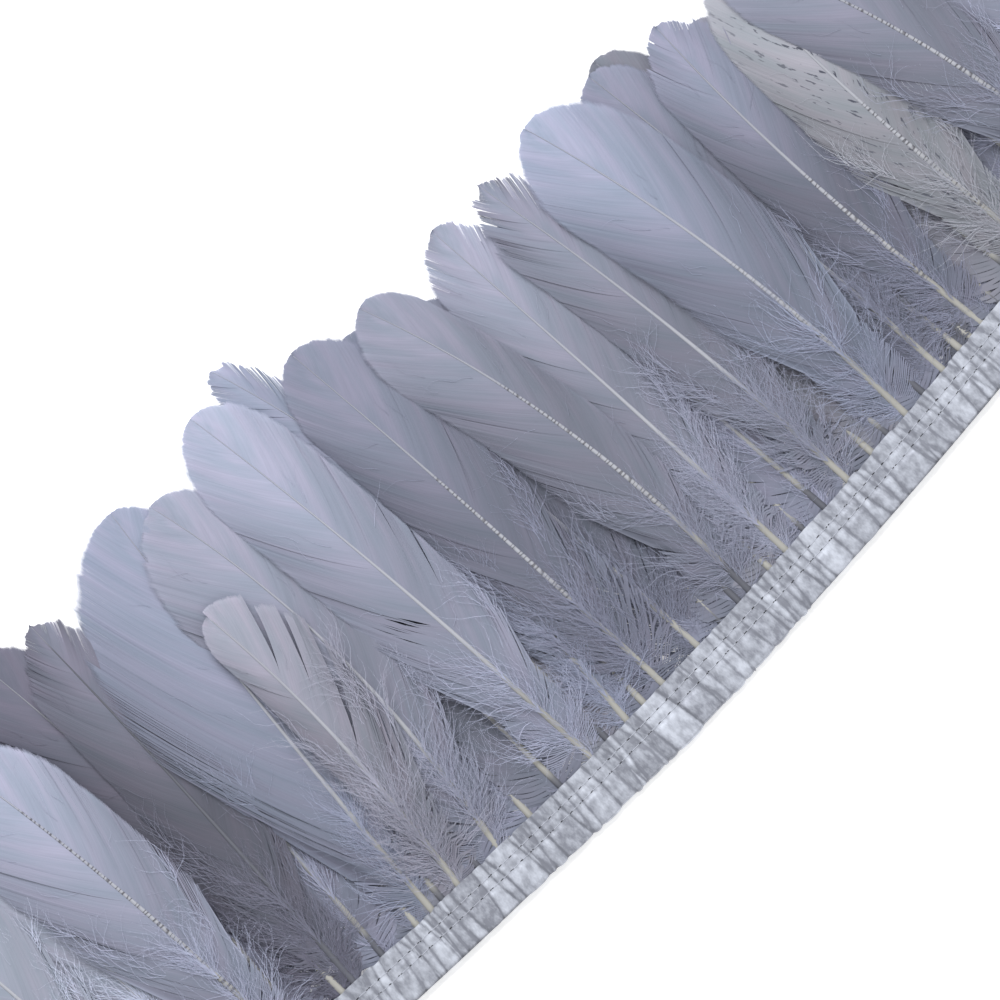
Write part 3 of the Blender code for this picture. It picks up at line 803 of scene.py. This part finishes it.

# Front row of feathers
# The feathers that show, listed one by one and laid over each other, right over left, with a short one on top.
# They came out of one dye bath, some paler or browner than others.
FROST = "#9ba0b1"
PALE_BLUE = "#898da0"
MIST = "#808394"
BLUE_GREY = "#7b8093"
SMOKE = "#757888"
SLATE = "#6d7081"
STONE = "#666979"
DEEP_GREY = "#595b65"
WARM_GREY = "#828391"
BROWN_GREY = "#5e5f6d"
DARK_GREY = "#545462"
WHITE_GREY = "#878992"
FRONT_FEATHERS = [
    Feather(-248, 158, -2, -8, 19, 18, 3, BLUE_GREY),
    Feather(-231, 164, -1, -7, 20, 20, 5, FROST),
    Feather(-206, 158, 1, -3, 17, 18, 4, FROST),
    Feather(-182, 144, 0, -9, 27, 19, 6, PALE_BLUE, rings=((20, 120, 0.9),), loose=0.5),
    Feather(-158, 164, 1, -5, 18, 16, 3, DARK_GREY, shade=1.3),
    Feather(-153, 160, 5.5, 2, 17, 15, 4, BROWN_GREY, clear=150, frayed=0.9, loose=0.8, shade=1.4,
            gaps=((1, 0.93, 0.9, -3), (1, 0.84, 0.9, -4))),
    Feather(-118, 169, 6, 9, 40, 16, 5, BLUE_GREY, loose=0.5, base=0.35),
    Feather(-106, 122, 9.5, -5, 9, 20, 8, WARM_GREY, locks=True, loose=1.1,
            gaps=((1, 0.95, 0.85, 6), (1, 0.885, 0.65, 4), (1, 0.78, 0.92, 8), (1, 0.7, 0.5, 1),
                  (1, 0.6, 0.4, 3), (-1, 0.6, 0.3, 1))),
    Feather(-88, 162, 11, -13, 29, 17, 6, MIST, rings=((10, 30, 0.8),), loose=0.7),
    Feather(-45, 173, -1, -7, 21, 17, 7, PALE_BLUE, loose=0.35,
            gaps=((1, 0.55, 0.5, 2), (1, 0.64, 0.4, 1)),
            holes=((-1, 0.44, 0.3, 2.2), (-1, 0.46, 0.45, 2.6),
                   (-1, 0.43, 0.55, 1.2), (-1, 0.47, 0.62, 1.2))),
    Feather(-28, 181, 6, -17, 14, 9, 4, BLUE_GREY, frayed=1.2),
    Feather(-11, 164, -1, -4, 18, 20, 5, SLATE, rings=((35, 105, 0.8),), base=0.9),
    Feather(6, 155, -2, -4, 18, 17, 3, STONE, rings=((30, 60, 0.6),), base=1.1, shade=1.3),
    Feather(31, 160, 1, -20, 20, 12, 6, SMOKE, rings=((35, 110, 0.8),), clear=14, loose=0.4,
            gaps=((-1, 0.78, 0.9, -4), (-1, 0.6, 0.95, -5), (-1, 0.47, 0.9, -5))),
    Feather(49, 158, -1, -3, 17, 14, 4, MIST, frayed=0.7),
    Feather(80, 157, -2, -10, 16, 16, 5, SMOKE, frayed=1.3),
    Feather(109, 158, -1, -15.5, 22, 22, 7, BLUE_GREY, rings=((25, 80, 0.5),), loose=0.35, shade=1.4),
    Feather(128, 152, -3, -6, 18, 14, 4, STONE, shade=1.6),
    Feather(137, 154, -5, -7, 15, 14, 3, DEEP_GREY, shade=1.8),
    Feather(148, 146, -6, 4, 16, 18, 5, SLATE, rings=((20, 80, 0.8),), frayed=0.7, loose=0.5, shade=1.6),
    Feather(178, 144, -6, 4, 20, 18, 6, WHITE_GREY, rings=((20, 80, 0.9),), specks=1, loose=0.4),
    Feather(210, 150, -4, -27, 20, 18, 7, SMOKE, rings=((20, 120, 0.9),), loose=0.5),
    Feather(226, 150, -11, -15, 18, 17, 5, STONE),
    Feather(235, 148, -10, -17, 18, 17, 4, SMOKE),
    Feather(247, 150, -12, -20, 19, 18, 6, PALE_BLUE, loose=0.5),
]

for number, feather in enumerate(FRONT_FEATHERS, start=1):
    make_feather(
        name=f"front_plume_{number:02d}",
        node=f"front_feather_{number:02d}",
        feather=feather,
        pitch=0.62 * MM,
        sections=100,
        sides=8,
        down=(330, 110, 28),
        strays=5,
        lift=1.8 * MM if feather.layer > 5 else 1.1 * MM,
        width=0.16 * MM,
        hairs=6,
        seed=number,
    )

# Satin ribbon
# One strip of woven silver-grey satin ribbon, folded lengthwise over the quills, with its fold at their ends.
# Two rows of stitches close it over them and pucker it.
TAPE_LENGTH = 512 * MM
FOLD_DEPTH = 1.4 * MM
half_length = TAPE_LENGTH / 2
inner = RIBBON_THICKNESS / 2
front = RIBBON_THICKNESS * 1.5 + CHANNEL_HEIGHT

# Sharp creases run across it where the stitching puckers it. Between them it swells and turns a little.
NARROW_PUCKER = (1.6 * MM, 4.2 * MM)
WIDE_PUCKER = (5 * MM, 11 * MM)
WIDE_SHARE = 0.3
PUCKER_SWELL = (0.12 * MM, 0.5 * MM)
CREASE_REACH = (0.7 * MM, 1.6 * MM)
PUCKER_TURN = 0.11
PUCKER_START = (-6, 8)
CREASE_SLANT = 0.16
CREASE_BEND = 0.9 * MM
EDGE_STEP = 0.35 * MM
FOLD_SCALLOP = 0.8 * MM
STITCH_ROWS = (4.8 * MM, 8.5 * MM)
ROW_REACH = 0.9 * MM
ROW_FLATTENING = 0.4
ROW_DEPTH = 0.12 * MM
SHEET_THICKNESS = 0.3 * MM
pucker_draw = np.random.default_rng(7)
crease_places = [-half_length]
while crease_places[-1] < half_length:
    wide = pucker_draw.uniform() < WIDE_SHARE
    crease_places.append(crease_places[-1] + pucker_draw.uniform(*(WIDE_PUCKER if wide else NARROW_PUCKER)))
crease_places[-1] = half_length
crease_places = np.array(crease_places)
creases = len(crease_places)
crease_slant = pucker_draw.uniform(-CREASE_SLANT, CREASE_SLANT, creases)
crease_bend = pucker_draw.uniform(-CREASE_BEND, CREASE_BEND, creases)
crease_slant[[0, -1]] = crease_bend[[0, -1]] = 0
crease_reach = pucker_draw.uniform(*CREASE_REACH, creases)
pucker_swell = pucker_draw.uniform(*PUCKER_SWELL, creases)
pucker_turn = pucker_draw.uniform(-PUCKER_TURN, PUCKER_TURN, creases)
pucker_starts = pucker_draw.uniform(*PUCKER_START, creases) * MM
pucker_step = pucker_draw.uniform(-EDGE_STEP, EDGE_STEP, creases)
pucker_scallop = pucker_draw.uniform(0, FOLD_SCALLOP, creases)
# How bright each pucker's painted highlight is.
pucker_painted_shine = pucker_draw.uniform(0, 1, creases)


def pucker_at(along, down_from_edge):
    """Which pucker a place on the ribbon is in, how far across it, from 0 to 1, and how wide it is there."""
    bow = np.sin(math.pi * np.clip(down_from_edge / TAPE_WIDTH, 0, 1))
    first, second = np.full(np.shape(along), -half_length), np.full(np.shape(along), half_length)
    number = np.zeros(np.shape(along), int)
    for crease in range(1, creases - 1):
        place = crease_places[crease] + crease_slant[crease] * down_from_edge + crease_bend[crease] * bow
        passed = (along > place) & (place > first)
        number[passed], first = crease, np.where(passed, place, first)
        second = np.where(~passed & (place > along), np.minimum(second, place), second)
    width = np.maximum(second - first, 0.5 * MM)
    return number, np.clip((along - first) / width, 0, 1), width


def pucker_height(along, down_from_edge):
    """How far a pucker lifts the ribbon: swollen between its two creases, and turned to one side."""
    number, share, width = pucker_at(along, down_from_edge)
    risen = smooth(share * width / crease_reach[number])
    risen = risen * smooth((1 - share) * width / crease_reach[number + 1])
    swell = pucker_swell[number] * risen * (0.6 + 0.4 * np.sin(math.pi * share))
    turned = pucker_turn[number] * width * (share - 0.5)
    depth = 0.35 + 0.65 * smooth((down_from_edge - pucker_starts[number]) / (8 * MM))
    return (swell + turned) * depth


def front_sheet_height(along, down_from_edge):
    """The height of the ribbon's front sheet, pulled down by the two rows of stitches."""
    sag = sum(np.exp(-(((down_from_edge - row) / ROW_REACH) ** 2)) for row in STITCH_ROWS)
    return front + pucker_height(along, down_from_edge) * (1 - ROW_FLATTENING * sag) - ROW_DEPTH * sag


def front_sheet_place(along, down_from_edge, height):
    """A point on the ribbon's front, given along it, below its upper edge and up from the table."""
    number, share, _ = pucker_at(along, down_from_edge)
    step = pucker_step[number] * (1 - np.abs(2 * share - 1) ** 6) * smooth(1 - down_from_edge / (4 * MM))
    across = TAPE_WIDTH / 2 - down_from_edge + step
    tilt = (along - TAPE_LOWEST_X) / TAPE_RADIUS
    return along - across * np.sin(tilt), tape_line(along) + across * np.cos(tilt), height


radius = (front - inner) / 2
BACK_INSET = 0.9 * MM
flat_run = TAPE_WIDTH - FOLD_DEPTH - 0.3 * MM
back_run = flat_run - BACK_INSET
arc = math.pi * radius
total = back_run + arc + flat_run
LENGTH_PARTS, WIDTH_PARTS = 1200, 24
BACK_PARTS, FOLD_PARTS = 3, 6
FOLD_DRAWN_IN = 1.9 * MM
# How wide the painted shade along each crease is.
CREASE_SHADE_WIDTH = 0.4 * MM
FULL_FOLD_FROM, FULL_FOLD_REACH = -15 * MM, 60 * MM
bm = bmesh.new()
made = bmesh.ops.create_grid(bm, x_segments=LENGTH_PARTS, y_segments=WIDTH_PARTS, size=1)["verts"]
unit = np.array([vertex.co for vertex in made])
along = (unit[:, 0] + 1) / 2 * TAPE_LENGTH - half_length
part_of_width = (unit[:, 1] + 1) / 2 * WIDTH_PARTS
turns_at = [0, BACK_PARTS, BACK_PARTS + FOLD_PARTS, WIDTH_PARTS]
run = np.interp(part_of_width, turns_at, [0, back_run, back_run + arc, total])
angle = np.clip((run - back_run) / arc, 0, 1) * math.pi
on_back = run < back_run - 1e-9
on_front = run > back_run + arc + 1e-9
below_edge = np.where(on_front, total - run, flat_run + 0.5 * radius)
number, share, pucker_width = pucker_at(along, below_edge)
scallop = pucker_scallop[number] * (1 - np.abs(2 * share - 1) ** 3)
drawn_in = FOLD_DRAWN_IN * (1 - np.exp(-(((along - FULL_FOLD_FROM) / FULL_FOLD_REACH) ** 2)))
fold_depth = radius * 0.75 + scallop - drawn_in
down_from_edge = np.where(
    on_back, BACK_INSET + run, np.where(on_front, total - run, flat_run + np.sin(angle) * fold_depth)
)
front_height = front_sheet_height(along, np.minimum(below_edge, flat_run))
fold_height = inner + (front_height - inner) * (1 - np.cos(angle)) / 2
height = np.where(on_back, inner, np.where(on_front, front_height, fold_height))
x, y, z = front_sheet_place(along, down_from_edge, np.maximum(height, inner))
for vertex, *point in zip(made, x, y, z):
    vertex.co = point
bmesh.ops.recalc_face_normals(bm, faces=bm.faces)
for edge in bm.edges:
    edge.smooth = not edge.is_boundary
flat_layer = bm.loops.layers.uv.new("weave")
flat_of = dict(zip(made, zip(along / MM, run / MM)))
for face in bm.faces:
    face.smooth = True
    for loop in face.loops:
        loop[flat_layer].uv = flat_of[loop.vert]
ribbon_mesh = finished_mesh("ribbon", bm)
# Painted shine: each pucker painted brighter towards its middle, as a highlight, and painted shade along its
# creases.
to_crease = np.minimum(share, 1 - share) * pucker_width
painted_shine = pucker_painted_shine[number] * (0.6 + 0.4 * np.sin(math.pi * share))
painted_shine = painted_shine - 0.9 * np.exp(-((to_crease / CREASE_SHADE_WIDTH) ** 2))
ribbon_mesh.attributes.new("painted_shine", "FLOAT", "POINT").data.foreach_set("value", painted_shine.astype(np.float32))
ribbon = add_object("ribbon", ribbon_mesh)
thickness = ribbon.modifiers.new("thickness", "SOLIDIFY")
thickness.thickness = SHEET_THICKNESS
thickness.offset = 0

# Polyester satin, woven: long floats give a bright, streaky shine that changes with every fold. That shine is
# painted into its colour, from dull to bright: a painted highlight on each pucker, patches of painted
# highlight and glints along the threads, and painted shade along the creases. Its threads are 0.1 mm apart or
# less; the streaks are drawn 0.45 mm apart, so that they show. Both scales are per mm.
THREAD_STREAKS = (2.2, 0.9)
PAINTED_WATERING = (0.4, 0.22)
satin, satin_tree, satin_shader = new_material(
    "silver_grey_satin", {"Metallic": 0.4, "Roughness": 0.4, "Sheen Weight": 0.2}
)
weave_flat = add_node(satin_tree, "UVMap", uv_map="weave")
thread_map = add_node(satin_tree, "Mapping", {"Vector": weave_flat, "Scale": (*THREAD_STREAKS, 1)})
threads = add_node(satin_tree, "TexNoise", {"Vector": thread_map, "Scale": 1.0, "Detail": 3.0})
painted_watering_map = add_node(satin_tree, "Mapping", {"Vector": weave_flat, "Scale": (*PAINTED_WATERING, 1)})
painted_watering = add_node(satin_tree, "TexNoise", {"Vector": painted_watering_map, "Scale": 1.0, "Detail": 3.0})
panel_painted_shine = add_node(satin_tree, "Attribute", attribute_name="painted_shine").outputs["Fac"]
# Patches of painted highlight and painted glints along the threads, added to each pucker's painted highlight.
painted_watering_tone = add_node(satin_tree, "MapRange", [painted_watering, 0.35, 0.65, -0.1, 0.5])
painted_shine_sum = add_node(satin_tree, "Math", [panel_painted_shine, 0.6, painted_watering_tone], operation="MULTIPLY_ADD")
thread_painted_glint = add_node(satin_tree, "MapRange", [threads, 0.3, 0.7, -0.12, 0.12])
painted_shine_share = add_node(satin_tree, "Math", [painted_shine_sum, thread_painted_glint], operation="ADD", use_clamp=True)
# The satin's colour, painted between dull and bright as its reflection.
painted_dull_and_bright = {0: painted_shine_share, 6: linear("#7f828d"), 7: linear("#c3c8d4")}
satin_painted_shine_colour = add_node(satin_tree, "Mix", painted_dull_and_bright, data_type="RGBA")
satin_tree.links.new(satin_painted_shine_colour.outputs[2], satin_shader.inputs["Base Color"])
satin_relief = add_node(satin_tree, "Bump", {"Height": threads, "Strength": 0.35, "Distance": 0.05 * MM})
satin_tree.links.new(satin_relief.outputs["Normal"], satin_shader.inputs["Normal"])
ribbon_mesh.materials.append(satin)
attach(ribbon, "root")
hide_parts("satin_tape")

# Stitches
# Two rows of grey polyester lockstitch go through the ribbon and between the quills. Each stitch is a short
# thread on top of the satin that dives into a needle hole at both ends.
STITCH_PITCH = 4.6 * MM
ROW_OFFSET = 0.4
STITCH_UNEVEN = 0.3
SWERVE = 0.25
THREAD_WIDTH = 0.22 * MM
THREAD_LIFT = 0.13 * MM
HOLE_DIVE = 0.12
HOLE_LENGTH = 1.2 * MM
BARE_END = 3 * MM
THREAD_STEPS = 10
THREAD_SIDES = 5
stitch_draw = random.Random("stitches")
bm = bmesh.new()
painted_hole_shade = []
for row_number, row in enumerate(STITCH_ROWS):
    for number in range(int((TAPE_LENGTH - 2 * BARE_END) / STITCH_PITCH)):
        begins = -half_length + BARE_END + (number + ROW_OFFSET * row_number) * STITCH_PITCH
        begins += stitch_draw.uniform(-STITCH_UNEVEN, STITCH_UNEVEN) * MM
        swerve = stitch_draw.uniform(-SWERVE, SWERVE) * MM
        tube, unit = add_tube(bm, THREAD_SIDES, THREAD_STEPS - 1)
        share = (unit[:, 2] + 1) / 2
        along = begins + share * STITCH_PITCH
        from_hole = np.minimum(share, 1 - share) * STITCH_PITCH
        # How far into the needle hole the thread is: it sinks and widens the thread, and sets the painted
        # shade of the hole.
        dive = 1 - smooth((from_hole - HOLE_LENGTH / 2) / (HOLE_LENGTH / 4))
        below = row + swerve * (share - 0.5) + unit[:, 0] * THREAD_WIDTH / 2 * (1 + dive)
        lift = (0.5 + 0.5 * unit[:, 1]) * THREAD_WIDTH + THREAD_LIFT - dive * HOLE_DIVE * MM
        x, y, z = front_sheet_place(along, below, front_sheet_height(along, np.full(len(along), row)) + lift)
        for vertex, *point in zip(tube, x, y, z):
            vertex.co = point
        painted_hole_shade.append(dive)
bmesh.ops.recalc_face_normals(bm, faces=bm.faces)
for face in bm.faces:
    face.smooth = True
stitch_mesh = finished_mesh("stitches", bm)
# Where the thread dives into a needle hole it is painted dark, as painted shade in the hole.
painted_hole_shade = np.concatenate(painted_hole_shade).astype(np.float32)
stitch_mesh.attributes.new("painted_hole_shade", "FLOAT", "POINT").data.foreach_set("value", painted_hole_shade)
stitches = add_object("stitches", stitch_mesh)

# Spun polyester thread: matt, a shade darker than the satin, and painted dark where it dives into a needle
# hole, as painted shade in the hole.
thread, thread_tree, thread_shader = new_material("spun_polyester_thread", {"Roughness": 0.8})
hole_shade_share = add_node(thread_tree, "Attribute", attribute_name="painted_hole_shade").outputs["Fac"]
thread_and_hole_shade = {0: hole_shade_share, 6: linear("#b2b6c1"), 7: linear("#121318")}
thread_colour = add_node(thread_tree, "Mix", thread_and_hole_shade, data_type="RGBA")
thread_tree.links.new(thread_colour.outputs[2], thread_shader.inputs["Base Color"])
stitch_mesh.materials.append(thread)
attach(stitches, "root")

# Floor, lights and camera
# A plain white table under two wide soft lamps, looked at from straight above, with the camera turned so that
# the ribbon runs up to the right.
VIEW_WIDTH = 330 * MM
VIEW_MIDDLE = (-4.5 * MM, 90.6 * MM, 7 * MM)
VIEW_TURN = -46.2
CAMERA_DISTANCE = 2.2
bm = bmesh.new()
bmesh.ops.create_grid(bm, x_segments=1, y_segments=1, size=4)
floor_mesh = finished_mesh("floor", bm)
floor_mesh.transform(Matrix.Translation((0, 0, -0.5 * MM)))
floor = add_object("floor", floor_mesh)
WHITE = (1, 1, 1, 1)
paint = {"Base Color": (0.95, 0.95, 0.95, 1), "Roughness": 0.8}
glow = {"Emission Color": WHITE, "Emission Strength": 0.35}
floor_mesh.materials.append(new_material("white_table", paint | glow)[0])

world = bpy.data.worlds.new("studio")
bpy.context.scene.world = world
world.use_nodes = True
world.node_tree.nodes["Background"].inputs["Color"].default_value = WHITE
world.node_tree.nodes["Background"].inputs["Strength"].default_value = 0.55


def add_lamp(name, place, size, power):
    """A square soft lamp that faces the trim."""
    data = bpy.data.lights.new(name, "AREA")
    data.size = size
    data.energy = power
    lamp = add_object(name, data)
    lamp.location = place
    lamp.rotation_euler = (-lamp.location).to_track_quat("-Z", "Y").to_euler()


turn = math.radians(VIEW_TURN)
up = (-math.sin(turn), math.cos(turn))
right = (math.cos(turn), math.sin(turn))


def in_view(to_right, to_top, height):
    """A place given as the camera sees it: metres to the right, towards the picture's top, and up."""
    return (right[0] * to_right + up[0] * to_top, right[1] * to_right + up[1] * to_top, height)


add_lamp("key", in_view(-0.7, 1.1, 1.5), 1.3, 46)
add_lamp("fill", in_view(1.3, -0.6, 1.6), 1.4, 6)

camera_data = bpy.data.cameras.new("camera")
camera_data.sensor_width = 36
camera_data.lens = 36 * CAMERA_DISTANCE / VIEW_WIDTH
camera = add_object("camera", camera_data)
camera.location = (VIEW_MIDDLE[0], VIEW_MIDDLE[1], VIEW_MIDDLE[2] + CAMERA_DISTANCE)
camera.rotation_euler = (0, 0, turn)
bpy.context.scene.camera = camera
bpy.context.scene.view_settings.view_transform = "Standard"
